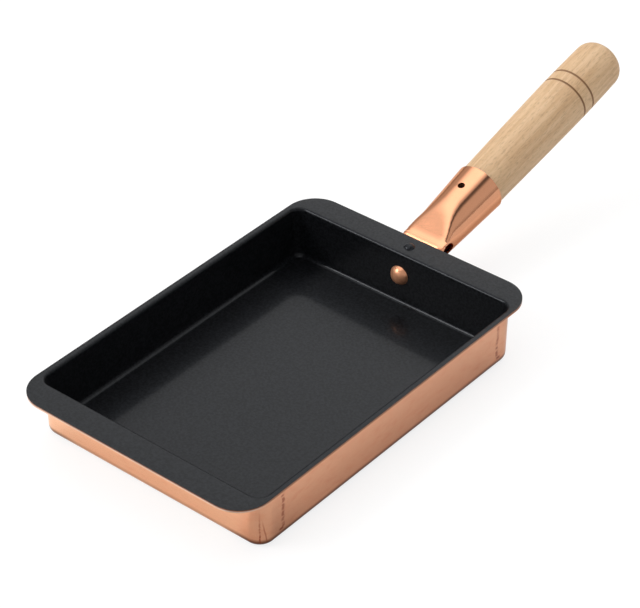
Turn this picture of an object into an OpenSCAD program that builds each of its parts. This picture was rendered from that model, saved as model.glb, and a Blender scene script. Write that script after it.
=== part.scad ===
// Rectangular rolled-omelette pan: a pressed copper pan with a black non-stick
// lining, a formed copper handle socket, two rivets and a turned wooden handle.
// Millimetres. +Z is up, +Y runs along the pan towards the handle, +X is across it.
// The origin is the centre of the pan's resting face.

/* [Pan] */
// Overall width, across the side flanges
flange_w = 139; // [115:1:170]
// Overall length of the pan, over the two end flanges
flange_l = 210; // [180:1:250]
// Height of the flange's top above the resting face
pan_h = 29.5; // [26:0.5:42]
// Width of each side flange, inner wall to edge
side_flange = 3.4; // [3.3:0.1:8]
// Width of each end flange, inner wall to edge
end_flange = 14.7; // [13.5:0.1:22]
// Corner radius of the flange's outline
flange_corner_r = 16; // [10:0.5:18]

/* [Pan sheet] */
// Thickness of the copper sheet
sheet_t = 1.3; // [1:0.1:1.5]
// Thickness of the non-stick lining
lining_t = 0.2; // [0.15:0.05:0.3]
// Radius of the bend from the wall into the flange, on the lining
lip_r = 1.7; // [1.6:0.1:3]
// Radius between the floor and the walls, on the lining
floor_fillet_r = 2.5; // [1.5:0.1:4]
// Radius of the four upright corners, on the lining at the floor
wall_corner_r = 5; // [4.5:0.1:10]
// How much rounder the corners are outside, where drawing thins the sheet
corner_extra = 1.5; // [0:0.1:1.6]
// How much each wall leans outwards between the floor and the flange
wall_draft = 0.7; // [0:0.1:2]

/* [Handle socket] */
// Thickness of the socket's sheet
socket_t = 1; // [0.7:0.1:1.2]
// Tilt of the handle above the horizontal, in degrees
handle_tilt = 13.9; // [11:0.1:16]
// Height at which the handle's axis meets the pan's end wall
axis_z = 20.9; // [20:0.1:22]
// Length of the socket along its axis, pan wall to mouth
socket_len = 63.4; // [58:0.1:80]
// Outer radius of the socket at its mouth
mouth_r = 13.3; // [12.5:0.05:14]
// Outer radius of the socket's cone where it reaches the pan wall
root_r = 10; // [9.5:0.1:10.5]
// Length of the part of the socket that is pressed flat on top
pressed_len = 42.4; // [40:0.1:44]
// Height gained per millimetre where the flat top rises to the round tube
ramp_slope = 0.8; // [0.7:0.05:1.2]
// Length over which the flat top curves up into that rise
ramp_blend = 3; // [2:0.5:5]
// Length of the flat top between the flange's edge and the rise
tab_reach = 3; // [2.8:0.1:4]
// How far pressing spreads the tab's upper sides beyond the round tube
tab_spread = 3.9; // [0:0.1:4.5]
// Length over which that spread fades, from the start of the rise
spread_run = 13; // [6:0.5:20]
// Length over which the tab steps down to go under the flange
step_run = 2.3; // [1.5:0.1:2.5]
// Width of the open seam along the socket's underside
seam_w = 0.5; // [0.3:0.1:1]
// Diameter of the pin hole on top of the socket
pin_hole_d = 3.7; // [2:0.1:5]
// Distance of the pin hole from the mouth
pin_hole_inset = 13; // [8:0.5:16]
// Diameter of the hole through both sides of the socket
side_hole_d = 10; // [5:0.5:11]
// Distance of the side hole from the pan wall
side_hole_out = 20.5; // [20:0.1:24]
// Height of the side hole's centre
side_hole_z = 23.9; // [23:0.1:26]

/* [Rivets] */
// Place of both rivets across the pan, as they were set by hand
rivet_x = -0.9; // [-1.2:0.1:1.2]
// Diameter of both rivets' shanks
shank_d = 4.5; // [3:0.1:5]
// Clearance of a rivet's shank in its holes, all round
rivet_clearance = 0.05; // [0.02:0.01:0.1]
// Diameter of the wall rivet's head, inside the pan
wall_head_d = 10.4; // [8:0.1:11]
// Height of the wall rivet's head
wall_head_h = 3.5; // [1.5:0.1:4]
// Height of the wall rivet's centre above the resting face
wall_rivet_z = 16.8; // [16:0.1:19]
// Diameter of the flange rivet's head
flange_head_d = 5.7; // [5.2:0.1:7]
// Height of the flange rivet's head
flange_head_h = 1.7; // [0.8:0.1:2]
// Distance of the flange rivet from the edge of the end flange
flange_rivet_inset = 7.4; // [6.5:0.1:8.5]
// Diameter of the closed ends of the rivets, inside the socket
tail_d = 6.4; // [5.6:0.1:7]
// Height of the closed ends of the rivets
tail_h = 1.6; // [1:0.1:2]

/* [Wooden handle] */
// Visible length of the wood, socket mouth to end
grip_len = 109.1; // [90:0.1:140]
// Depth of the wood inside the socket
tenon_len = 20; // [16:0.5:20.5]
// Largest radius of the wood
belly_r = 13.5; // [13:0.1:16]
// Distance of the largest radius from the end of the wood
belly_inset = 37; // [30:1:50]
// Radius of the wood at its end, without the rounding
grip_end_r = 13; // [12:0.1:14]
// Radius that rounds the end of the wood
end_round_r = 7.5; // [4:0.5:11]
// Distance of the outer scored ring from the end of the wood
ring_inset = 29.5; // [20:0.5:40]
// Distance between the two scored rings
ring_pitch = 7.4; // [4:0.1:12]
// Width of each scored ring
ring_w = 1.2; // [0.6:0.1:2]
// Depth of the pin's hole in the wood
pin_bore_len = 9; // [5:0.5:10]

/* [Hidden] */
$fn = 96;
copper = [0.84, 0.52, 0.38];
coating_black = [0.14, 0.14, 0.15];
beech = [0.82, 0.68, 0.50];

// Slack that a cutter runs past the face that it opens
cut_over = 1;

// Depths below the finished inner surface: 0 is the lining's face, lining_t the
// sheet's inner face and wall_t the sheet's outer face
wall_t = sheet_t + lining_t;
floor_z = wall_t;
open_w = flange_w - 2 * side_flange;
open_l = flange_l - 2 * end_flange;
lean = atan(wall_draft / (pan_h - floor_z));
corner_x = open_w / 2 - wall_draft - wall_corner_r;
corner_y = open_l / 2 - wall_draft - wall_corner_r;
fillet_z = floor_z + floor_fillet_r;
fillet_u = wall_u(fillet_z) - floor_fillet_r / cos(lean);
lip_z = pan_h - lip_r;
lip_u = wall_u(lip_z) + lip_r / cos(lean);
round_bite = 0.001;

// Distance of the finished wall from a corner's upright axis, at a height
function wall_u(z) = wall_corner_r + (z - floor_z) * tan(lean);

// The socket's own frame: distances run along its axis from the wall's outer face
root_y = corner_y + wall_u(axis_z) + wall_t / cos(lean);
taper = (mouth_r - root_r) / socket_len;
under_flange_z = pan_h - wall_t;
flange_edge_y = flange_l / 2;
edge_gap = 0.3;
foot_bend_r = 1.8;
ramp_y = flange_edge_y + tab_reach;
turn_len = 5;
ramp_end = pressed_len - turn_len;
seam_start = 4;

// Facets of the socket's pressed part: points round it and rings along each stretch
around = 48;
bend_rings = 4;
tab_rings = 3;
step_rings = 5;
ramp_rings = 9;
turn_rings = 3;
ramp_bunching = 1.3;
corner_power = 12;

// How the pressed part joins the round tube: its facets wrap the tube's start, a hair
// proud outside and in the bore, and then run into the middle of the tube's sheet
wrap_out = 0.04;
wrap_in = 0.01;
wrap_len = 0.3;
run_in_len = 0.5;
tube_start = pressed_len + wrap_len / 2;
tube_len = socket_len - tube_start;
bore_inset = socket_t + wrap_in;
tab_gap = 0.01;

// The wood's own profile: bore of the socket's mouth, curve and steps of the swell
throat_r = mouth_r - socket_t;
swell_power = 1.2;
grip_steps = 14;
end_steps = 8;

// The filled half-section of the pan's cavity, at a depth below its finished
// surface: floor, fillet, leaning wall and the outward bend into the flange. It starts
// at an upright axis that sits by extra further in than the lining's own corner. The
// wall's ends reach a hair into the two rounds, so that each pair crosses cleanly
module cavity_section(depth, extra) {
    fillet = floor_fillet_r + depth;
    lip = lip_r - depth;
    fillet_at = [fillet_u + extra, fillet_z];
    lip_at = [lip_u + extra, lip_z];
    difference() {
        union() {
            polygon([
                [0, floor_z - depth],
                [fillet_at.x, floor_z - depth],
                fillet_at + (fillet - round_bite) * [cos(lean), -sin(lean)],
                lip_at - (lip - round_bite) * [cos(lean), -sin(lean)],
                lip_at,
                [lip_at.x, pan_h - depth],
                [0, pan_h - depth]
            ]);
            translate(fillet_at) intersection() {
                circle(r = fillet);
                translate([0, -2 * fillet]) square(fillet * [2, 2.2]);
            }
        }
        translate(lip_at) circle(r = lip);
    }
}

// The pan's cavity as a solid, down to a depth below its finished surface: a
// middle block, four straight walls and four turned corners
module cavity(depth, extra = 0) {
    axis_x = corner_x - extra;
    axis_y = corner_y - extra;
    translate([-axis_x, -axis_y, floor_z - depth])
        cube([2 * axis_x, 2 * axis_y, pan_h - floor_z]);
    for (turn = [0, 180]) rotate(turn) {
        translate([axis_x, axis_y, 0]) rotate([90, 0, 0])
            linear_extrude(2 * axis_y) cavity_section(depth, extra);
        translate([-axis_x, axis_y, 0]) rotate([90, 0, 90])
            linear_extrude(2 * axis_x) cavity_section(depth, extra);
    }
    for (quarter = [0 : 3]) {
        corner_angle = 45 + 90 * quarter;
        translate([sign(cos(corner_angle)) * axis_x, sign(sin(corner_angle)) * axis_y, 0])
            rotate(90 * quarter) rotate_extrude(angle = 90) cavity_section(depth, extra);
    }
}

// The flange's outline, a rectangle with round corners
module flange_outline() {
    inner_x = flange_w / 2 - flange_corner_r;
    inner_y = flange_l / 2 - flange_corner_r;
    square([2 * inner_x, flange_l], center = true);
    square([flange_w, 2 * inner_y], center = true);
    for (x = [-inner_x, inner_x], y = [-inner_y, inner_y])
        translate([x, y]) circle(r = flange_corner_r);
}

// One layer of the pan between two depths, with its flange
module pan_layer(inner, outer, extra) {
    difference() {
        union() {
            cavity(outer, extra);
            translate([0, 0, pan_h - outer]) linear_extrude(outer - inner) flange_outline();
        }
        cavity(inner);
        rivet_holes();
    }
}

// Places a shape on the finished end wall, with its +Z pointing out of the pan
module at_end_wall(z) {
    translate([rivet_x, corner_y + wall_u(z), z]) rotate([-90 - lean, 0, 0]) children();
}

// Places a shape on the flange's finished top, with its +Z pointing down
module at_flange_rivet() {
    translate([rivet_x, flange_edge_y - flange_rivet_inset, pan_h]) rotate([180, 0, 0]) children();
}

module rivet_hole() {
    translate([0, 0, -cut_over])
        cylinder(h = wall_t + socket_t + 2 * cut_over, d = shank_d + 2 * rivet_clearance);
}

module rivet_holes() {
    at_end_wall(wall_rivet_z) rivet_hole();
    at_flange_rivet() rivet_hole();
}

// A dome of a given foot diameter and height, standing on the plane z = 0
module dome(d, h) {
    ball_r = (d * d / 4 + h * h) / (2 * h);
    rotate_extrude() intersection() {
        translate([0, h - ball_r]) circle(r = ball_r);
        square([d / 2, h]);
    }
}

// A set rivet: head on the pan's side, shank through the layers, closed end beyond
module rivet(head_d, head_h) {
    grip = wall_t + socket_t;
    mirror([0, 0, 1]) dome(head_d, head_h);
    cylinder(h = grip, d = shank_d);
    translate([0, 0, grip]) dome(tail_d, tail_h);
}

// Places a shape in the socket's frame: +Z along the handle, +Y up and square to it
module on_handle(along) {
    translate([0, root_y, axis_z]) rotate([handle_tilt - 90, 0, 0])
        mirror([0, 1, 0]) translate([0, 0, along]) children();
}

function cone_r(along) = root_r + taper * along;
function axis_y(along) = root_y + along * cos(handle_tilt);

// Height of the socket's pressed top: bent down at the wall, flat under the
// flange, stepped up flush with the flange's top, then rising to the round tube
function foot_drop(out) = out >= foot_bend_r ? 0
    : foot_bend_r - sqrt(pow(foot_bend_r, 2) - pow(foot_bend_r - out, 2));
function smooth_step(t) = t <= 0 ? 0 : t >= 1 ? 1 : t * t * (3 - 2 * t);
function ramp_rise(t) = t <= 0 ? 0
    : t < ramp_blend ? t * t / (2 * ramp_blend)
    : t - ramp_blend / 2;
function top_z(y) = under_flange_z - foot_drop(y - root_y)
    + wall_t * smooth_step((y - flange_edge_y - edge_gap) / step_run)
    + ramp_slope * ramp_rise(y - ramp_y);

// How far the pressed sides stand out beyond the cone
function side_spread(y) = tab_spread * (1 - smooth_step((y - ramp_y) / spread_run));

// Radius of the tilted cone in a plane through an axis point, at an angle from
// level; skew is the angle between the plane and the cone's own cross-section
function cone_reach(along, angle, skew, inset) =
    (cone_r(along) - inset) / (sqrt(1 - pow(sin(angle) * sin(skew), 2))
        - taper * sin(angle) * sin(skew));

// Radius of the pressed section: the cone, cut by the flat top with a soft corner
function pressed_reach(along, angle, skew, inset, top) =
    let (round_reach = cone_reach(along, angle, skew, inset))
    sin(angle) <= 0 || top == undef ? round_reach
        : pow(pow(round_reach, -corner_power) + pow(sin(angle) / top, corner_power),
            -1 / corner_power);

// One ring of the pressed part: a plane tilted from upright by plane_tilt
function ring(along, plane_tilt, inset, top) = [
    for (i = [0 : around - 1])
        let (angle = 360 * i / around,
             reach = pressed_reach(along, angle, handle_tilt - plane_tilt, inset, top))
        [
            (reach + side_spread(axis_y(along)) * pow((1 + sin(angle)) / 2, 2)) * cos(angle),
            axis_y(along) - reach * sin(angle) * sin(plane_tilt),
            axis_z + along * sin(handle_tilt) + reach * sin(angle) * cos(plane_tilt)
        ]
];

// Stations along the axis: foot bend, tab under the flange, step, rise and turn
function along_at(y) = (y - root_y) / cos(handle_tilt);
stations = [
    for (i = [0 : bend_rings - 1]) along_at(root_y + foot_bend_r * (1 - cos(90 * i / bend_rings))),
    for (i = [0 : tab_rings - 1])
        along_at(root_y + foot_bend_r
            + (flange_edge_y + edge_gap - root_y - foot_bend_r) * i / tab_rings),
    for (i = [0 : step_rings - 1]) along_at(flange_edge_y + edge_gap + step_run * i / step_rings),
    for (i = [0 : ramp_rings - 1])
        along_at(ramp_y) + (ramp_end - along_at(ramp_y)) * pow(i / ramp_rings, ramp_bunching),
    for (i = [0 : turn_rings - 1]) ramp_end + turn_len * i / turn_rings
];

// Tilt of a station's plane: along the wall, upright, then square to the axis
function plane_tilt(along) =
    along <= foot_bend_r ? -lean
    : along <= ramp_end ? 0
    : handle_tilt * (along - ramp_end) / turn_len;
function top_over_axis(along, tilt) =
    (top_z(axis_y(along)) - axis_z - along * sin(handle_tilt)) / cos(tilt);

// Upright depth of a skin below the top, which keeps the sheet's gauge on the slope
function slope_gain(along) =
    axis_y(along) > ramp_y + ramp_blend / 2 ? sqrt(1 + pow(ramp_slope, 2)) : 1;
function top_depth(along, inset) = inset > 0 ? inset * slope_gain(along) : tab_gap;

// The rings of one skin, and its run into the tube's sheet down to end_inset
function skin(inset, end_inset, start) = concat(
    [for (a = stations) if (a >= start)
        ring(a, plane_tilt(a), inset,
            top_over_axis(a, plane_tilt(a)) - top_depth(a, inset))],
    [for (a = [pressed_len, pressed_len + wrap_len]) ring(a, handle_tilt, inset, undef)],
    [ring(pressed_len + wrap_len + run_in_len, handle_tilt, end_inset, undef)]
);

// Faces that join ring k to ring k + 1, seen from outside or from inside
function band(first, k, from_outside) = [
    for (i = [0 : around - 1])
        let (a = first + k * around + i,
             b = first + k * around + (i + 1) % around,
             c = b + around,
             d = a + around)
        each from_outside ? [[a, b, d], [b, c, d]] : [[a, d, b], [b, d, c]]
];

// The pressed part as one closed skin: outside, end band at the tube, inside and
// the foot that closes it against the wall
module pressed_part() {
    outside = skin(-wrap_out, socket_t / 3, 0);
    inside = concat([foot_ring()], skin(bore_inset, 2 * socket_t / 3, foot_start()));
    n_out = len(outside);
    n_in = len(inside);
    first_in = n_out * around;
    last_out = (n_out - 1) * around;
    last_in = first_in + (n_in - 1) * around;
    points = [for (r = concat(outside, inside)) each r];
    faces = concat(
        [[for (i = [around - 1 : -1 : 0]) i]],
        [for (k = [0 : n_out - 2]) each band(0, k, true)],
        [for (i = [0 : around - 1])
            let (j = (i + 1) % around)
            each [[last_out + i, last_out + j, last_in + i], [last_out + j, last_in + j, last_in + i]]],
        [for (k = [0 : n_in - 2]) each band(first_in, k, false)],
        [[for (i = [0 : around - 1]) first_in + i]]
    );
    polyhedron(points = points, faces = faces);
}

// Where the hollow begins, one sheet's gauge from the wall
function foot_start() = foot_bend_r;
function foot_along() = socket_t / cos(handle_tilt);
function foot_ring() =
    ring(foot_along(), -lean, bore_inset, top_over_axis(foot_along(), -lean) - bore_inset);

module pan_body() {
    color(copper) pan_layer(lining_t, wall_t, corner_extra);
}

module nonstick_lining() {
    color(coating_black) pan_layer(0, lining_t, 0);
}

module handle_socket() {
    color(copper) difference() {
        union() {
            pressed_part();
            on_handle(tube_start) difference() {
                cylinder(h = tube_len, r1 = cone_r(tube_start), r2 = mouth_r);
                cylinder(h = tube_len, r1 = cone_r(tube_start) - socket_t, r2 = throat_r);
            }
        }
        rivet_holes();
        on_handle(socket_len - pin_hole_inset) pin_hole(mouth_r + cut_over);
        translate([0, root_y + side_hole_out, side_hole_z])
            rotate([0, 90, 0]) cylinder(h = 3 * mouth_r, d = side_hole_d, center = true);
        on_handle(seam_start) translate([-seam_w / 2, -2 * mouth_r, 0])
            cube([seam_w, 2 * mouth_r, socket_len]);
    }
}

// The pin's hole, square to the handle's axis and open upwards
module pin_hole(reach) {
    rotate([-90, 0, 0]) cylinder(h = reach, d = pin_hole_d);
}

module wall_rivet() {
    color(copper) at_end_wall(wall_rivet_z) rivet(wall_head_d, wall_head_h);
}

module flange_rivet() {
    color(coating_black) at_flange_rivet() rivet(flange_head_d, flange_head_h);
}

// Radius of the wood at a distance from the socket's mouth: it swells to its
// belly and draws in towards the end
function grip_r(z) = let (belly_z = grip_len - belly_inset)
    z < belly_z ? belly_r - (belly_r - throat_r) * pow(1 - z / belly_z, swell_power)
    : belly_r - (belly_r - grip_end_r) * pow((z - belly_z) / belly_inset, 2);

// The turned handle: tenon cone, swelling grip, round end and two scored rings
module wooden_handle() {
    round_z = grip_len - end_round_r;
    round_u = grip_r(round_z) - end_round_r;
    profile = concat(
        [[0, -tenon_len], [throat_r - taper * tenon_len, -tenon_len]],
        [for (i = [0 : grip_steps - 1]) [grip_r(round_z * i / grip_steps), round_z * i / grip_steps]],
        [for (i = [0 : end_steps])
            [round_u, round_z] + end_round_r * [cos(90 * i / end_steps), sin(90 * i / end_steps)]],
        [[0, grip_len]]
    );
    color(beech) on_handle(socket_len) difference() {
        rotate_extrude() difference() {
            polygon(profile);
            for (inset = [ring_inset, ring_inset + ring_pitch])
                translate([grip_r(grip_len - inset), grip_len - inset]) circle(d = ring_w, $fn = 24);
        }
        translate([0, throat_r - pin_bore_len, -pin_hole_inset]) pin_hole(2 * mouth_r);
    }
}

pan_body();
nonstick_lining();
handle_socket();
wall_rivet();
flange_rivet();
wooden_handle();
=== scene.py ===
"""Looks, studio and camera for a rectangular rolled-omelette pan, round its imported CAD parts."""

import math

import bpy
from mathutils import Euler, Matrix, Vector


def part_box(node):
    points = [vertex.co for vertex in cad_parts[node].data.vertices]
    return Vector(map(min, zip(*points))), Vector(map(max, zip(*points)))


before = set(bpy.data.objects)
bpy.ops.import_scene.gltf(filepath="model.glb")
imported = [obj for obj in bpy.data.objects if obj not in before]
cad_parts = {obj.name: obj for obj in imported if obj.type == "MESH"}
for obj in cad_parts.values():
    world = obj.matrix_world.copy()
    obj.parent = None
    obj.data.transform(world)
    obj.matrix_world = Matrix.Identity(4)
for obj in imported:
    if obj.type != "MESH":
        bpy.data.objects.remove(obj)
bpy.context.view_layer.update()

bl_info = {
    "name": "Rolled-Omelette Pan",
    "version": (1, 0, 0),
    "blender": (4, 5, 0),
    "location": "3D View > Sidebar > Omelette Pan",
    "description": "Finishes and studio for a copper rolled-omelette pan with a wooden handle",
    "category": "Object",
}

MM = 0.001

# Camera: place in metres, turn in degrees, lens and sensor in millimetres, and a shift of
# half a pixel, for an image of 640 x 608
CAMERA_AT = (0.60840, -0.69180, 0.72581)
CAMERA_TURN = (53.7494, 0.4683, 39.8164)
CAMERA_LENS = 140.579
CAMERA_SENSOR = 36.0
CAMERA_SHIFT = (-0.5 / 640, 0.5 / 640)

# The copper pan's sides in millimetres, from its own box
PAN_LOW, PAN_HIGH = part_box("pan_body")
NEAR, FAR = PAN_LOW.y / MM, PAN_HIGH.y / MM
RIGHT, TOP = PAN_HIGH.x / MM, PAN_HIGH.z / MM

# Angles above which an edge is shaded sharp, in degrees: of most pieces, of the socket, and
# of the socket near the joint of its formed part
CREASE = 30.0
SOCKET_CREASE = 50.0
JOINT_CREASE = 25.0

# How far the joint's angle reaches, and the distance within which corners are one, in metres
JOINT_REACH = 1.5 * MM
WELD = 0.002 * MM

# Below, a pair of places says where a thing starts to show and where it is full

# The drawn copper, in millimetres: its right wall is darker as painted shade, and the walls'
# foot is dark as painted shade, but the underside isn't. The shares are of the dull blotches,
# of the painted shade on the right wall, and of the painted shade on the foot from the
# middle of a wall to the sides of the pan
SHADED_RIGHT_SIDE = (50.0, 60.0)
SHADED_FOOT_HEIGHT = (5.3, 2.9)
SHADED_FOOT_SPREAD = (40.0, 62.0)
OFF_UNDERSIDE = (0.1, 0.5)
BLOTCH_SHARE = 0.3
SHADED_RIGHT_SIDE_SHARE = 0.55
SHADED_FOOT_SHARE = (0.35, 0.9)

# The flange's edge, in millimetres: its foot, the part that is bare and bright, and how far
# along the pan it is so
RIM_FOOT = (TOP - 1.05, TOP - 0.95)
BARE_EDGE = (TOP - 0.45, TOP - 0.75)
BARE_REACH = (NEAR + 20.0, NEAR + 8.0)

# The copper's relief, in millimetres: its depth, and the heights over which it deepens from
# a share on the underside to all of it on the walls
RELIEF = 0.006
RELIEF_RISE = (0.0, 1.0)
RELIEF_SHARE = (0.2, 1.0)

# Pressing marks, in millimetres. CORNER_AXIS is the upright axis of the near corner on the
# right, and a mark's turn is its place round that corner. The side marks stand at places
# along both side walls, each with a short toe at its foot. Half is a mark's half width,
# and STREAK_CORE is the share of it that is full
CORNER_AXIS = (RIGHT - 10.6, NEAR + 21.9)
CRACK = {"turn": -0.48, "half": 0.5, "waver": 0.6, "foot": (1.5, 3.0), "head": (24.0, 6.0)}
SLANT = {"turn": 3.2, "half": 0.42, "waver": 0.4, "foot": (2.0, 4.5), "head": (18.0, 9.0)}
SLANT_LEAN = 0.16
SLANT_SHARE = 0.7
SIDE_MARKS = (-76.9, 78.3)
SIDE_MARK = {"half": 1.25, "waver": 1.9, "foot": (4.5, 6.0), "head": (27.0, 24.0)}
TOE = {"height": 5.6, "half_height": 0.9, "out": 1.2, "half_length": 1.9}
WAVER = 1.2
STREAK_CORE = 0.4
WALLS_FROM = 50.0

# How a pattern of dashes, from 0 to 1, turns into gaps: its range, and the marks' strengths
CRACK_GAPS = (0.3, 0.5, 0.35, 1.0)
SIDE_MARK_GAPS = (0.45, 0.53, 0.1, 0.9)

# Where the socket's tab grows dull towards its bend under the flange, in millimetres
DULL_BEND = (FAR + 5.0, FAR + 1.5)

# How fine the patterns are along x, y and z, or twice across the wood and once along it, in
# waves per millimetre
ROLLING_LINES = (0.03, 0.03, 2.2)
BLOTCHES = (0.12, 0.12, 0.35)
WAVERING = (0.02, 0.02, 0.5)
DASHES = (0.05, 0.05, 1.3)
WOOD_GRAIN = (0.5, 0.5, 0.03)
WOOD_FLECKS = (1.8, 1.8, 0.3)

# Ranges of a pattern, from 0 to 1, over which blotches, grain and flecks blend in
BLOTCH_EDGE = (0.45, 0.72)
COATING_GRAIN_EDGE = (0.35, 0.65)
WOOD_GRAIN_EDGE = (0.3, 0.7)
WOOD_FLECK_EDGE = (0.52, 0.66)

# Darker and lighter versions of a colour: the copper's clouds and its flange's edge, a
# rivet's dents, the coating's grain and that of the rivet in it, lighter as a painted
# highlight, the wood's flecks, and the painted shade in the wood's bore
CLOUD_SHADE = 0.88
RIM_SHADE = 0.4
DENT_SHADE = 0.75
GRAIN_SHADES = (0.3, 1.7)
RIVET_PAINTED_LIGHT_TONE = 2.0
FLECK_SHADE = 0.6
PAINTED_BORE_SHADE = 0.2

# Half widths of the scored rings, and radius of the painted shade round the pin bore on the
# wood, in millimetres, and how strongly these and the flecks show
RING_EDGE = (0.85, 0.4)
SHADED_BORE_EDGE = (3.0, 2.4)
RING_SHARE = 0.85
SHADED_BORE_SHARE = 0.95
FLECK_SHARE = 0.4

# The floor in metres: half its side, and how far it lies under the pan
FLOOR_REACH = 4.0
FLOOR_DROP = 0.05 * MM

# The floor as metal mirrors it, in millimetres: painted shade at the front right, by its left
# and back edges, a painted fall-off of light behind the pan, and painted shade on the right
# with its level
FLOOR_SHADE_LEFT = (46.0, 60.0)
FLOOR_SHADE_BACK = (-48.0, -90.0)
FALL_OFF = (100.0, 125.0)
DIM_SIDE = (60.0, 74.0)
DIM_SIDE_LEVEL = 0.86

# The room is painted by the slopes x/z and y/z of a direction. The overhead softbox hangs
# over and behind the pan, and its left side slants with the depth past a pivot. A dark gap
# lies on its right, and a second softbox stands at the front left
OVERHEAD = {
    "left": (-1.6, -0.45),
    "right": (0.42, 0.02),
    "near": (-0.90, -0.15),
    "far": (2.6, 1.7),
}
OVERHEAD_SHEAR = 0.4
OVERHEAD_PIVOT = 0.3
GAP = {"left": (0.36, 0.46), "right": (0.88, 0.55), "near": (-0.4, -0.1), "far": (0.8, 0.55)}
FRONT = {"left": (-2.4, -2.0), "right": (0.1, -0.3), "near": (-2.6, -2.2), "far": (-0.8, -1.1)}

# Round lamps at the front left and behind on the right: the middle and disc of each
KEY_PLACE = (-0.86, -0.98)
KEY_DISC = (0.42, 0.32)
RIM_PLACE = (0.52, 0.95)
RIM_DISC = (0.32, 0.2)

# The room's own level: its height above the horizon, its lighter side, and the least height
# that a slope is worked out from
ROOM_RISE = (0.03, 0.28)
LIGHT_SIDE = (0.5, 1.0)
LIGHT_SIDE_GAIN = 0.12
LEAST_RISE = 0.02

# Width of the fill lamp, in degrees
FILL_WIDTH = 30.0


# Shader maths


class Value:
    """A node's output, whose arithmetic adds Math nodes to its own tree."""

    def __init__(self, graph, socket):
        self.graph = graph
        self.socket = socket

    def most(self, other):
        return self.graph.math("MAXIMUM", self, other)

    def root(self):
        return self.graph.math("SQRT", self)

    def __add__(self, other):
        return self.graph.math("ADD", self, other)

    def __radd__(self, other):
        return self.graph.math("ADD", other, self)

    def __sub__(self, other):
        return self.graph.math("SUBTRACT", self, other)

    def __rsub__(self, other):
        return self.graph.math("SUBTRACT", other, self)

    def __mul__(self, other):
        return self.graph.math("MULTIPLY", self, other)

    def __rmul__(self, other):
        return self.graph.math("MULTIPLY", other, self)

    def __truediv__(self, other):
        return self.graph.math("DIVIDE", self, other)

    def __rtruediv__(self, other):
        return self.graph.math("DIVIDE", other, self)

    def __gt__(self, other):
        return self.graph.math("GREATER_THAN", self, other)

    def __lt__(self, other):
        return self.graph.math("LESS_THAN", self, other)

    def __abs__(self):
        return self.graph.math("ABSOLUTE", self)


class Outputs:
    """A node's outputs, by name or by number, as Values."""

    def __init__(self, graph, node):
        self.graph = graph
        self.node = node

    def __getitem__(self, key):
        return Value(self.graph, self.node.outputs[key])


class Graph:
    """A node tree: of a material, of the world, or of a modifier."""

    def __init__(self, tree):
        self.tree = tree
        self.tree.nodes.clear()

    def node(self, kind, settings=None, sockets=None):
        node = self.tree.nodes.new(kind)
        for key, value in (settings or {}).items():
            setattr(node, key, value)
        for key, value in (sockets or {}).items():
            if isinstance(value, Value):
                self.tree.links.new(value.socket, node.inputs[key])
            else:
                node.inputs[key].default_value = value
        return Outputs(self, node)

    def math(self, operation, *terms):
        return self.node("ShaderNodeMath", {"operation": operation}, dict(enumerate(terms)))[0]


class Paint(Graph):
    """The node tree of one material, or of the world."""

    def __init__(self, owner):
        owner.use_nodes = True
        super().__init__(owner.node_tree)
        self.owner = owner

    def place(self):
        """The surface point in millimetres, as a vector and as its three Values."""
        here = self.stretch(self.node("ShaderNodeTexCoord")["Object"], (1 / MM,) * 3)
        return here, *self.split(here)

    def split(self, vector):
        parts = self.node("ShaderNodeSeparateXYZ", None, {0: vector})
        return [parts[axis] for axis in "XYZ"]

    def vector(self, x, y, z):
        return self.node("ShaderNodeCombineXYZ", None, {0: x, 1: y, 2: z})[0]

    def stretch(self, vector, factors):
        settings = {"operation": "MULTIPLY"}
        return self.node("ShaderNodeVectorMath", settings, {0: vector, 1: factors})[0]

    def noise(self, vector, scale=1.0, detail=3.0, roughness=0.5):
        sockets = {"Vector": vector, "Scale": scale, "Detail": detail, "Roughness": roughness}
        return self.node("ShaderNodeTexNoise", None, sockets)[0]

    def step(self, value, low, high, to_low=0.0, to_high=1.0):
        """A smooth rise from to_low to to_high while value goes from low to high."""
        settings = {"interpolation_type": "SMOOTHSTEP", "clamp": True}
        sockets = {"Value": value, "From Min": low, "From Max": high,
                   "To Min": to_low, "To Max": to_high}
        return self.node("ShaderNodeMapRange", settings, sockets)[0]

    def mix(self, factor, first, second):
        """Two colours mixed by a factor."""
        settings = {"data_type": "RGBA", "clamp_factor": True}
        sockets = {0: factor, 6: opaque(first), 7: opaque(second)}
        return self.node("ShaderNodeMix", settings, sockets)[2]

    def blend(self, factor, first, second):
        """Two shaders mixed by a factor."""
        return self.node("ShaderNodeMixShader", None, {0: factor, 1: first, 2: second})[0]

    def matte(self, colour):
        return self.node("ShaderNodeBsdfDiffuse", None, {"Color": opaque(colour)})[0]

    def bump(self, height, distance, strength):
        sockets = {"Height": height, "Distance": distance, "Strength": strength}
        return self.node("ShaderNodeBump", None, sockets)[0]

    def surface(self, **sockets):
        """Ends the tree in one Principled BSDF; socket names use _ for a space."""
        named = {key.replace("_", " "): value for key, value in sockets.items()}
        named["Base Color"] = opaque(named["Base Color"])
        if "Specular Tint" in named:
            named["Specular Tint"] = opaque(named["Specular Tint"])
        shader = self.node("ShaderNodeBsdfPrincipled", None, named)[0]
        self.node("ShaderNodeOutputMaterial", None, {"Surface": shader})
        return self.owner


def opaque(colour):
    """A colour with its fourth channel, or a Value as it is."""
    if isinstance(colour, Value):
        return colour
    return (*tuple(colour)[:3], 1.0)


def new_paint(name):
    return Paint(bpy.data.materials.new(name))


def shade(colour, factor):
    return tuple(channel * factor for channel in tuple(colour)[:3])


# Pieces


def dress(node, material, crease=CREASE, joint=None):
    """Puts a material on a CAD node and rounds its shading below a crease angle."""
    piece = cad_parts[node]
    piece.data.materials.clear()
    piece.data.materials.append(material)
    soften(piece, crease, joint)


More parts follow.
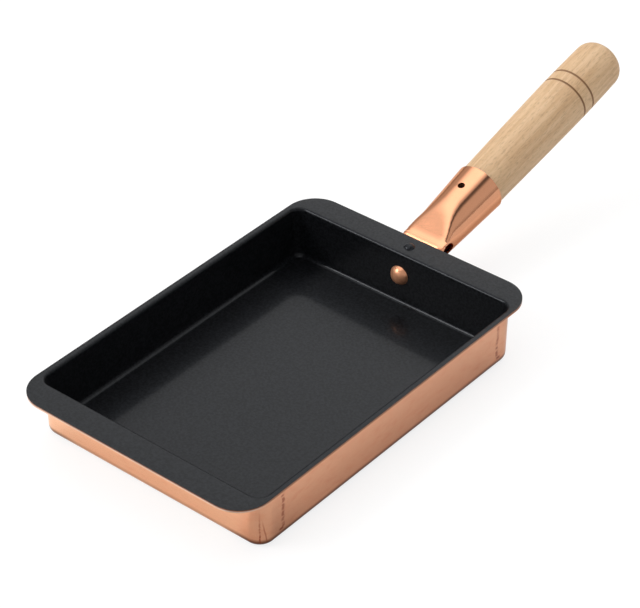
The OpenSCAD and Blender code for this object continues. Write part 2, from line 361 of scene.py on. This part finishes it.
def soften(piece, crease, joint):
    """Smooth shading with sharp creases, as a modifier, so that the mesh stays as it is.

    joint is an axis and a place along it, in metres: the edges near there keep a tighter
    crease angle, so that a formed tube's joint doesn't show in its reflections.
    """
    group = bpy.data.node_groups.new(piece.name + "_shading", "GeometryNodeTree")
    for way in ("INPUT", "OUTPUT"):
        group.interface.new_socket("Geometry", in_out=way, socket_type="NodeSocketGeometry")
    graph = Graph(group)
    mesh = graph.node("NodeGroupInput")[0]
    mesh = graph.node("GeometryNodeMergeByDistance", None, {"Geometry": mesh, "Distance": WELD})[0]
    mesh = graph.node("GeometryNodeSetShadeSmooth", {"domain": "FACE"}, {"Geometry": mesh})[0]
    angle = graph.node("GeometryNodeInputMeshEdgeAngle")["Unsigned Angle"]
    sharp = angle > crease_angle(graph, crease, joint)
    sockets = {"Geometry": mesh, "Selection": sharp, "Shade Smooth": False}
    mesh = graph.node("GeometryNodeSetShadeSmooth", {"domain": "EDGE"}, sockets)[0]
    graph.node("NodeGroupOutput", None, {0: mesh})
    piece.modifiers.new("Shading", "NODES").node_group = group


def crease_angle(graph, crease, joint):
    """The crease angle in radians: tight within the joint's reach, and wide elsewhere."""
    wide = math.radians(crease)
    if joint is None:
        return wide
    axis, place = joint
    here = graph.node("GeometryNodeInputPosition")[0]
    along = graph.node("ShaderNodeVectorMath", {"operation": "DOT_PRODUCT"}, {0: here, 1: axis})
    tight = math.radians(JOINT_CREASE)
    return tight + (wide - tight) * (abs(along["Value"] - place) > JOINT_REACH)


# Materials


def drawn_copper(settings):
    """Satin copper sheet with a soft cloud, rolling lines and brown draw marks at the bends,
    with painted shade on its right wall and along its foot.
    """
    paint = new_paint("Drawn Copper")
    here, x, y, z = paint.place()
    cloud = paint.noise(here, scale=0.05, detail=2.0)
    lines = paint.noise(paint.stretch(here, ROLLING_LINES), detail=2.0)
    blotch = paint.noise(paint.stretch(here, BLOTCHES), detail=4.0, roughness=0.65)
    base = paint.mix(cloud, settings.copper, shade(settings.copper, CLOUD_SHADE))
    # Painted shade: the right wall turns towards the tarnish colour, as well as the real dull
    # blotches
    shaded_right_side = paint.step(x, *SHADED_RIGHT_SIDE) * SHADED_RIGHT_SIDE_SHARE
    tarnish_and_shade = paint.step(blotch, *BLOTCH_EDGE) * BLOTCH_SHARE + shaded_right_side
    base = paint.mix(tarnish_and_shade, base, settings.tarnish_and_shade)
    # Painted shade along the walls' foot, stronger towards the side walls and kept off the
    # underside
    foot = paint.step(z, *SHADED_FOOT_HEIGHT) * paint.step(z, *OFF_UNDERSIDE)
    foot = foot * paint.step(abs(x), *SHADED_FOOT_SPREAD, *SHADED_FOOT_SHARE)
    base = paint.mix(foot, base, settings.foot)
    bare = paint.step(z, *BARE_EDGE) * paint.step(y, *BARE_REACH)
    edge = paint.mix(bare, shade(settings.tarnish_and_shade, RIM_SHADE), settings.cut_edge)
    base = paint.mix(paint.step(z, *RIM_FOOT), base, edge)
    marks = draw_marks(paint, here, x, y, z)
    relief = (lines + blotch * 0.5) * paint.step(z, *RELIEF_RISE, *RELIEF_SHARE)
    return paint.surface(
        Base_Color=paint.mix(marks * settings.draw_marks, base, settings.draw_mark_colour),
        Metallic=1.0,
        Roughness=settings.satin + (cloud - 0.5) * 0.06 + (lines - 0.5) * 0.05,
        Normal=paint.bump(relief, RELIEF * MM, 0.5),
    )


def draw_marks(paint, here, x, y, z):
    """Broken dark pressing marks: two at the near corner, one near each side wall's end."""
    waver = (paint.noise(paint.stretch(here, WAVERING), detail=1.0) - 0.5) * WAVER
    dashes = paint.noise(paint.stretch(here, DASHES), detail=2.0, roughness=0.6)
    marks = corner_marks(paint, x - CORNER_AXIS[0], CORNER_AXIS[1] - y, z, waver, dashes)
    for place in SIDE_MARKS:
        marks = marks.most(side_mark(paint, y - place, z, math.copysign(1, place), waver, dashes))
    return marks * (abs(x) > WALLS_FROM)


def corner_marks(paint, right, near, z, waver, dashes):
    """An upright crack and a slanted one beside it, round an axis at right = near = 0."""
    corner = (right > 0.0) * (near > 0.0)
    turn = (right - near) * math.sqrt(0.5)
    crack = streak(paint, turn - CRACK["turn"] + waver * CRACK["waver"], CRACK["half"])
    crack = crack * corner * upright(paint, z, CRACK) * paint.step(dashes, *CRACK_GAPS)
    lean = turn - SLANT["turn"] + z * SLANT_LEAN
    slant = streak(paint, lean + waver * SLANT["waver"], SLANT["half"])
    return crack.most(slant * corner * upright(paint, z, SLANT) * SLANT_SHARE)


def side_mark(paint, along, z, out, waver, dashes):
    """A broken upright line at along = 0, with a toe that points out, towards the wall's end."""
    line = streak(paint, along + waver * SIDE_MARK["waver"], SIDE_MARK["half"])
    line = line * upright(paint, z, SIDE_MARK) * paint.step(dashes, *SIDE_MARK_GAPS)
    toe = streak(paint, z - TOE["height"], TOE["half_height"])
    toe = toe * streak(paint, along - TOE["out"] * out, TOE["half_length"])
    return line.most(toe)


def streak(paint, offset, half_width):
    return paint.step(abs(offset), half_width, half_width * STREAK_CORE)


def upright(paint, z, mark):
    """The heights between which a mark shows."""
    return paint.step(z, *mark["foot"]) * paint.step(z, *mark["head"])


def polished_copper(settings):
    """Bright copper with a soft cloud, duller where the tab bends."""
    paint = new_paint("Polished Copper")
    here, _, y, _ = paint.place()
    cloud = paint.noise(here, scale=0.12, detail=3.0)
    dull = paint.step(y, *DULL_BEND) * settings.dullness
    return paint.surface(
        Base_Color=paint.mix(cloud, settings.polished, shade(settings.polished, CLOUD_SHADE)),
        Metallic=1.0,
        Roughness=settings.polish + (cloud - 0.5) * 0.05 + dull,
        Specular_Tint=settings.copper_sheen,
        Normal=paint.bump(cloud, 0.05 * MM, 0.4),
    )


def hammered_copper(settings):
    """Copper with shallow dents from the hammer."""
    paint = new_paint("Peened Copper")
    here = paint.place()[0]
    dents = paint.noise(here, scale=0.28, detail=1.0)
    return paint.surface(
        Base_Color=paint.mix(dents, settings.polished, shade(settings.polished, DENT_SHADE)),
        Metallic=0.65,
        Roughness=settings.polish + 0.2,
        Specular_Tint=settings.copper_sheen,
        Normal=paint.bump(dents, 0.5 * MM, 0.5),
    )


def nonstick_coating(settings, name="Non-stick Coating", tone=1.0):
    """Black coating with a fine grain; tone lightens it, as a painted highlight on the rivet."""
    paint = new_paint(name)
    here = paint.place()[0]
    grain = paint.noise(here, scale=0.8, detail=3.0, roughness=0.7)
    cloud = paint.noise(here, scale=0.03, detail=2.0)
    dark, light = (shade(settings.coating, factor * tone) for factor in GRAIN_SHADES)
    return paint.surface(
        Base_Color=paint.mix(paint.step(grain, *COATING_GRAIN_EDGE), dark, light),
        Roughness=settings.coating_gloss + (cloud - 0.5) * 0.06,
        Normal=paint.bump(grain, 0.03 * MM, 0.6),
        IOR=1.2,
        Specular_Tint=(0.78, 0.87, 1.0),
        Coat_Weight=0.3,
        Coat_Roughness=0.11,
        Coat_IOR=1.4,
    )


def handle_end(tilt):
    """How far along its own axis the wooden handle ends, in millimetres."""
    corners = (vertex.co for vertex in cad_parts["wooden_handle"].data.vertices)
    return max(co.y * math.cos(tilt) + co.z * math.sin(tilt) for co in corners) / MM


def turned_beech(settings):
    """Pale beech with lengthwise grain, short dark flecks, two scorched rings and painted
    shade in the pin bore.
    """
    paint = new_paint("Turned Beech")
    _, x, y, z = paint.place()
    tilt = settings.handle_tilt
    along = y * math.cos(tilt) + z * math.sin(tilt)
    above = z * math.cos(tilt) - y * math.sin(tilt)
    here = paint.vector(x, above, along)
    grain = paint.noise(paint.stretch(here, WOOD_GRAIN), detail=4.0, roughness=0.6)
    fleck = paint.noise(paint.stretch(here, WOOD_FLECKS), detail=3.0)
    tone = paint.step(grain, *WOOD_GRAIN_EDGE)
    wood = paint.mix(tone, settings.wood_light, settings.wood_dark)
    flecks = paint.step(fleck, *WOOD_FLECK_EDGE) * FLECK_SHARE
    wood = paint.mix(flecks, wood, shade(settings.wood_dark, FLECK_SHADE))
    from_end = handle_end(tilt) - along
    for inset in (settings.ring_inset, settings.ring_inset + settings.ring_pitch):
        ring = paint.step(abs(from_end - inset / MM), *RING_EDGE)
        wood = paint.mix(ring * RING_SHARE, wood, settings.ring_colour)
    # Painted shade: the wood in and round the pin bore, on its upper side, turns near black
    off_bore = from_end - settings.bore_inset / MM
    bore = paint.step((x * x + off_bore * off_bore).root(), *SHADED_BORE_EDGE) * (above > 0.0)
    wood = paint.mix(bore * SHADED_BORE_SHARE, wood, shade(settings.ring_colour, PAINTED_BORE_SHADE))
    return paint.surface(
        Base_Color=wood,
        Roughness=0.55,
        Normal=paint.bump(fleck, 0.05 * MM, 0.4),
    )


# Settings


class PanFinish(bpy.types.PropertyGroup):
    """Colours and finishes of the pan's pieces."""

    copper: bpy.props.FloatVectorProperty(
        name="Copper", description="Colour of the copper", subtype="COLOR",
        size=3, min=0, max=1, default=(0.95, 0.57, 0.36))
    polished: bpy.props.FloatVectorProperty(
        name="Polished Copper", description="Colour of the polished copper", subtype="COLOR",
        size=3, min=0, max=1, default=(0.94, 0.44, 0.25))
    copper_sheen: bpy.props.FloatVectorProperty(
        name="Copper Sheen", description="Tint of polished copper at a grazing angle",
        subtype="COLOR", size=3, min=0, max=1, default=(0.95, 0.72, 0.58))
    # Also the colour of the painted shade on the copper's right wall
    tarnish_and_shade: bpy.props.FloatVectorProperty(
        name="Tarnish", description="Colour of the copper's duller blotches and right side",
        subtype="COLOR", size=3, min=0, max=1, default=(0.80, 0.36, 0.21))
    # The colour of the painted shade along the copper's foot
    foot: bpy.props.FloatVectorProperty(
        name="Foot", description="Colour of the copper's darkened foot", subtype="COLOR",
        size=3, min=0, max=1, default=(0.17, 0.055, 0.025))
    cut_edge: bpy.props.FloatVectorProperty(
        name="Cut Edge", description="Colour of the flange's bare cut edge", subtype="COLOR",
        size=3, min=0, max=1, default=(0.78, 0.60, 0.51))
    satin: bpy.props.FloatProperty(
        name="Satin", description="Roughness of the drawn copper", subtype="FACTOR",
        min=0, max=1, default=0.22)
    polish: bpy.props.FloatProperty(
        name="Polish", description="Roughness of the polished copper", subtype="FACTOR",
        min=0, max=1, default=0.13)
    dullness: bpy.props.FloatProperty(
        name="Dull Bend", description="Roughness that the socket's tab gains where it bends "
        "under the flange", subtype="FACTOR", min=0, max=1, default=0.3)
    draw_marks: bpy.props.FloatProperty(
        name="Draw Marks", description="Strength of the pressing marks at the corners",
        subtype="FACTOR", min=0, max=1, default=0.8)
    draw_mark_colour: bpy.props.FloatVectorProperty(
        name="Draw Mark Colour", description="Colour of the pressing marks", subtype="COLOR",
        size=3, min=0, max=1, default=(0.32, 0.065, 0.03))
    coating: bpy.props.FloatVectorProperty(
        name="Coating", description="Colour of the non-stick coating", subtype="COLOR",
        size=3, min=0, max=1, default=(0.0060, 0.0064, 0.0075))
    coating_gloss: bpy.props.FloatProperty(
        name="Coating Roughness", description="Roughness of the non-stick coating",
        subtype="FACTOR", min=0, max=1, default=0.36)
    wood_light: bpy.props.FloatVectorProperty(
        name="Light Wood", description="Colour of the wood's pale grain", subtype="COLOR",
        size=3, min=0, max=1, default=(0.68, 0.466, 0.275))
    wood_dark: bpy.props.FloatVectorProperty(
        name="Dark Wood", description="Colour of the wood's dark grain", subtype="COLOR",
        size=3, min=0, max=1, default=(0.57, 0.358, 0.19))
    ring_colour: bpy.props.FloatVectorProperty(
        name="Scored Rings", description="Colour of the scorched rings", subtype="COLOR",
        size=3, min=0, max=1, default=(0.22, 0.095, 0.035))
    ring_inset: bpy.props.FloatProperty(
        name="Ring Inset", description="Distance of the outer ring from the handle's end",
        unit="LENGTH", min=0.02, max=0.04, default=0.0295)
    ring_pitch: bpy.props.FloatProperty(
        name="Ring Pitch", description="Distance between the two rings",
        unit="LENGTH", min=0.004, max=0.012, default=0.0074)
    bore_inset: bpy.props.FloatProperty(
        name="Bore Inset", description="Distance of the pin bore from the handle's end",
        unit="LENGTH", min=0.1, max=0.14, default=0.1221)
    joint_inset: bpy.props.FloatProperty(
        name="Joint Inset", description="Distance of the socket's formed part from the "
        "handle's end", unit="LENGTH", min=0.1, max=0.16, default=0.1301)
    handle_tilt: bpy.props.FloatProperty(
        name="Handle Tilt", description="Tilt of the handle above the horizontal",
        subtype="ANGLE", min=0, max=math.radians(30), default=math.radians(13.9))


class StudioSettings(bpy.types.PropertyGroup):
    """Lamps, room and floor of the studio."""

    floor: bpy.props.FloatVectorProperty(
        name="Floor", description="Colour of the floor", subtype="COLOR",
        size=3, min=0, max=1, default=(0.86, 0.86, 0.86))
    shown_shadow: bpy.props.FloatProperty(
        name="Shadow", description="How much a shadow darkens the floor", subtype="FACTOR",
        min=0, max=1, default=0.22)
    shown_level: bpy.props.FloatProperty(
        name="Floor Level", description="Brightness of the floor to the camera",
        min=0, max=2, default=1.03)
    mirrored_shadow: bpy.props.FloatProperty(
        name="Mirrored Shadow", description="How much a shadow darkens the floor seen in metal",
        subtype="FACTOR", min=0, max=1, default=1.0)
    mirrored_level: bpy.props.FloatProperty(
        name="Mirrored Floor", description="Brightness of the floor seen in metal",
        min=0, max=2, default=0.98)
    room: bpy.props.FloatProperty(
        name="Room", description="Radiance of the grey room", min=0, max=4, default=0.6)
    horizon: bpy.props.FloatProperty(
        name="Horizon", description="Radiance of the room near the horizon",
        min=0, max=4, default=0.34)
    softbox: bpy.props.FloatProperty(
        name="Softbox", description="Radiance of the softbox overhead", min=0, max=8, default=2.1)
    gap: bpy.props.FloatProperty(
        name="Gap", description="Radiance of the dark gap beside the softbox",
        min=0, max=4, default=0.12)
    front_softbox: bpy.props.FloatProperty(
        name="Front Softbox", description="Radiance of the softbox at the front left",
        min=0, max=8, default=1.5)
    key_lamp: bpy.props.FloatProperty(
        name="Key Lamp", description="Radiance of the key lamp at the front left",
        min=0, max=30, default=13.5)
    rim_lamp: bpy.props.FloatProperty(
        name="Rim Lamp", description="Radiance of the lamp behind on the right",
        min=0, max=30, default=2.4)
    # Painted shade on the floor as metal mirrors it, at the front right
    painted_floor_shade: bpy.props.FloatProperty(
        name="Grey Card", description="How much the card at the front right darkens the floor "
        "seen in metal", subtype="FACTOR", min=0, max=1, default=0.3)
    # Painted shade on the floor behind the pan, as metal mirrors it
    fall_off: bpy.props.FloatProperty(
        name="Fall-off", description="How much the floor behind the pan is darker in metal",
        subtype="FACTOR", min=0, max=1, default=0.28)
    fill: bpy.props.FloatProperty(
        name="Fill Lamp", description="Irradiance of the soft lamp at the front left, on matte "
        "surfaces only", min=0, max=10, default=0.3)


# Operators


class PAN_OT_copper_pan(bpy.types.Operator):
    """Finish the pressed copper pan"""

    bl_idname = "pan.copper_pan"
    bl_label = "Copper Pan"

    def execute(self, context):
        dress("pan_body", drawn_copper(context.scene.pan_finish))
        return {"FINISHED"}


class PAN_OT_lining(bpy.types.Operator):
    """Finish the black non-stick lining"""

    bl_idname = "pan.lining"
    bl_label = "Non-stick Lining"

    def execute(self, context):
        dress("nonstick_lining", nonstick_coating(context.scene.pan_finish))
        return {"FINISHED"}


class PAN_OT_socket(bpy.types.Operator):
    """Finish the formed handle socket"""

    bl_idname = "pan.socket"
    bl_label = "Handle Socket"

    def execute(self, context):
        finish = context.scene.pan_finish
        tilt = finish.handle_tilt
        axis = (0.0, math.cos(tilt), math.sin(tilt))
        joint = (axis, handle_end(tilt) * MM - finish.joint_inset)
        dress("handle_socket", polished_copper(finish), SOCKET_CREASE, joint)
        return {"FINISHED"}


class PAN_OT_rivets(bpy.types.Operator):
    """Finish the two rivets"""

    bl_idname = "pan.rivets"
    bl_label = "Rivets"

    def execute(self, context):
        finish = context.scene.pan_finish
        dress("wall_rivet", hammered_copper(finish))
        # The rivet's coating is lightened as a painted highlight
        dress("flange_rivet", nonstick_coating(finish, "Coated Rivet", RIVET_PAINTED_LIGHT_TONE))
        return {"FINISHED"}


class PAN_OT_wooden_handle(bpy.types.Operator):
    """Finish the turned wooden handle"""

    bl_idname = "pan.wooden_handle"
    bl_label = "Wooden Handle"

    def execute(self, context):
        dress("wooden_handle", turned_beech(context.scene.pan_finish))
        return {"FINISHED"}


class PAN_OT_studio(bpy.types.Operator):
    """Set the floor, the lamps, the room and the camera"""

    bl_idname = "pan.studio"
    bl_label = "Studio"

    def execute(self, context):
        studio = context.scene.studio_settings
        lay_floor(studio)
        light_room(context.scene, studio)
        hang_fill(context.scene, studio)
        set_camera(context.scene)
        context.scene.view_settings.view_transform = "Standard"
        return {"FINISHED"}


# Studio


def lay_floor(studio):
    """A pale floor that keeps shadows; it is white to the camera and bright in metal."""
    mesh = bpy.data.meshes.new("floor")
    corners = [(-1, -1), (1, -1), (1, 1), (-1, 1)]
    places = [(x * FLOOR_REACH, y * FLOOR_REACH, -FLOOR_DROP) for x, y in corners]
    mesh.from_pydata(places, [], [(0, 1, 2, 3)])
    floor = bpy.data.objects.new("floor", mesh)
    bpy.context.scene.collection.objects.link(floor)
    paint = new_paint("Floor")
    path = paint.node("ShaderNodeLightPath")
    shown = floor_shader(paint, studio.shown_shadow, studio.shown_level)
    mirrored = floor_shader(paint, studio.mirrored_shadow, studio.mirrored_level)
    # Painted shade: the floor in metal blends towards black by its tone
    mirrored = paint.blend(mirrored_tone(paint, studio), paint.matte((0, 0, 0)), mirrored)
    in_metal = path["Is Glossy Ray"] + path["Is Transmission Ray"]
    seen = paint.blend(in_metal, paint.matte(studio.floor), mirrored)
    seen = paint.blend(path["Is Camera Ray"], seen, shown)
    paint.node("ShaderNodeOutputMaterial", None, {"Surface": seen})
    mesh.materials.append(paint.owner)


def mirrored_tone(paint, studio):
    """How bright each place on the floor is in metal, as a share of the floor's level, with
    painted shade at the front right, behind the pan and on the right.
    """
    _, x, y, _ = paint.place()
    # Painted shade on the floor as metal mirrors it, at the front right
    painted_floor_shade = paint.step(x, *FLOOR_SHADE_LEFT) * paint.step(y, *FLOOR_SHADE_BACK)
    tone = (1.0 - painted_floor_shade * studio.painted_floor_shade) * (1.0 - paint.step(y, *FALL_OFF) * studio.fall_off)
    return tone * paint.step(x, *DIM_SIDE, 1.0, DIM_SIDE_LEVEL)


def floor_shader(paint, share, level):
    """Part lit surface and part even glow: share says how much a shadow darkens it."""
    matte = paint.matte([share * level] * 3)
    sockets = {"Color": opaque((1, 1, 1)), "Strength": (1 - share) * level}
    glow = paint.node("ShaderNodeEmission", None, sockets)[0]
    return paint.node("ShaderNodeAddShader", None, {0: matte, 1: glow})[0]


def hang_panel(paint, level, left, right, depth, edges, radiance):
    """The room's level with a softbox or a dark gap in it; left and right are slopes."""
    face = paint.step(left, *edges["left"]) * paint.step(right, *edges["right"])
    face = face * paint.step(depth, *edges["near"]) * paint.step(depth, *edges["far"])
    return level + (radiance - level) * face


def hang_lamp(paint, level, side, depth, place, disc, radiance):
    """The room's level with a round lamp in it."""
    off_x, off_y = side - place[0], depth - place[1]
    face = paint.step((off_x * off_x + off_y * off_y).root(), *disc)
    return level + (radiance - level) * face


def light_room(scene, studio):
    """A grey room, darker at the horizon, with softboxes, a gap and lamps in it."""
    world = bpy.data.worlds.new("room")
    scene.world = world
    paint = Paint(world)
    direction = paint.node("ShaderNodeTexCoord")["Generated"]
    across, along, up = paint.split(direction)
    rise = up.most(LEAST_RISE)
    side = across / rise
    depth = along / rise
    slant = side + (depth - OVERHEAD_PIVOT) * OVERHEAD_SHEAR
    level = paint.step(up, *ROOM_RISE, studio.horizon, studio.room)
    level = level + paint.step(side, *LIGHT_SIDE) * LIGHT_SIDE_GAIN
    level = hang_panel(paint, level, slant, side, depth, OVERHEAD, studio.softbox)
    level = hang_panel(paint, level, side, side, depth, GAP, studio.gap)
    level = hang_panel(paint, level, side, side, depth, FRONT, studio.front_softbox)
    level = hang_lamp(paint, level, side, depth, KEY_PLACE, KEY_DISC, studio.key_lamp)
    level = hang_lamp(paint, level, side, depth, RIM_PLACE, RIM_DISC, studio.rim_lamp)
    room = paint.node("ShaderNodeBackground", None, {"Strength": level})[0]
    white = paint.node("ShaderNodeBackground", None, {"Color": opaque((1, 1, 1))})[0]
    seen = paint.blend(paint.node("ShaderNodeLightPath")["Is Camera Ray"], room, white)
    paint.node("ShaderNodeOutputWorld", None, {"Surface": seen})


def hang_fill(scene, studio):
    """A broad soft lamp where the key lamp hangs, which metal and gloss don't mirror."""
    data = bpy.data.lights.new("fill", "SUN")
    data.energy = studio.fill
    data.angle = math.radians(FILL_WIDTH)
    lamp = bpy.data.objects.new("fill", data)
    lamp.rotation_euler = Vector((*KEY_PLACE, 1.0)).to_track_quat("Z", "Y").to_euler()
    lamp.visible_glossy = False
    scene.collection.objects.link(lamp)


def set_camera(scene):
    data = bpy.data.cameras.new("camera")
    data.sensor_fit = "HORIZONTAL"
    data.sensor_width = CAMERA_SENSOR
    data.lens = CAMERA_LENS
    data.shift_x, data.shift_y = CAMERA_SHIFT
    camera = bpy.data.objects.new("camera", data)
    camera.location = CAMERA_AT
    camera.rotation_euler = Euler([math.radians(turn) for turn in CAMERA_TURN], "XYZ")
    scene.collection.objects.link(camera)
    scene.camera = camera


# Panel


class PAN_PT_sidebar(bpy.types.Panel):
    """The pan's finishes and the steps that build its look"""

    bl_label = "Omelette Pan"
    bl_idname = "PAN_PT_sidebar"
    bl_space_type = "VIEW_3D"
    bl_region_type = "UI"
    bl_category = "Omelette Pan"

    def draw(self, context):
        layout = self.layout
        for settings in (context.scene.pan_finish, context.scene.studio_settings):
            box = layout.box()
            for name in settings.__annotations__:
                box.prop(settings, name)
        for step in STEPS:
            layout.operator(step.bl_idname)


STEPS = (
    PAN_OT_copper_pan,
    PAN_OT_lining,
    PAN_OT_socket,
    PAN_OT_rivets,
    PAN_OT_wooden_handle,
    PAN_OT_studio,
)
CLASSES = (PanFinish, StudioSettings, *STEPS, PAN_PT_sidebar)


def register():
    for cls in CLASSES:
        bpy.utils.register_class(cls)
    bpy.types.Scene.pan_finish = bpy.props.PointerProperty(type=PanFinish)
    bpy.types.Scene.studio_settings = bpy.props.PointerProperty(type=StudioSettings)


def unregister():
    del bpy.types.Scene.studio_settings
    del bpy.types.Scene.pan_finish
    for cls in reversed(CLASSES):
        bpy.utils.unregister_class(cls)


def main():
    register()
    bpy.ops.pan.copper_pan()
    bpy.ops.pan.lining()
    bpy.ops.pan.socket()
    bpy.ops.pan.rivets()
    bpy.ops.pan.wooden_handle()
    bpy.ops.pan.studio()
    bpy.context.view_layer.update()


if __name__ == "__main__":
    main()
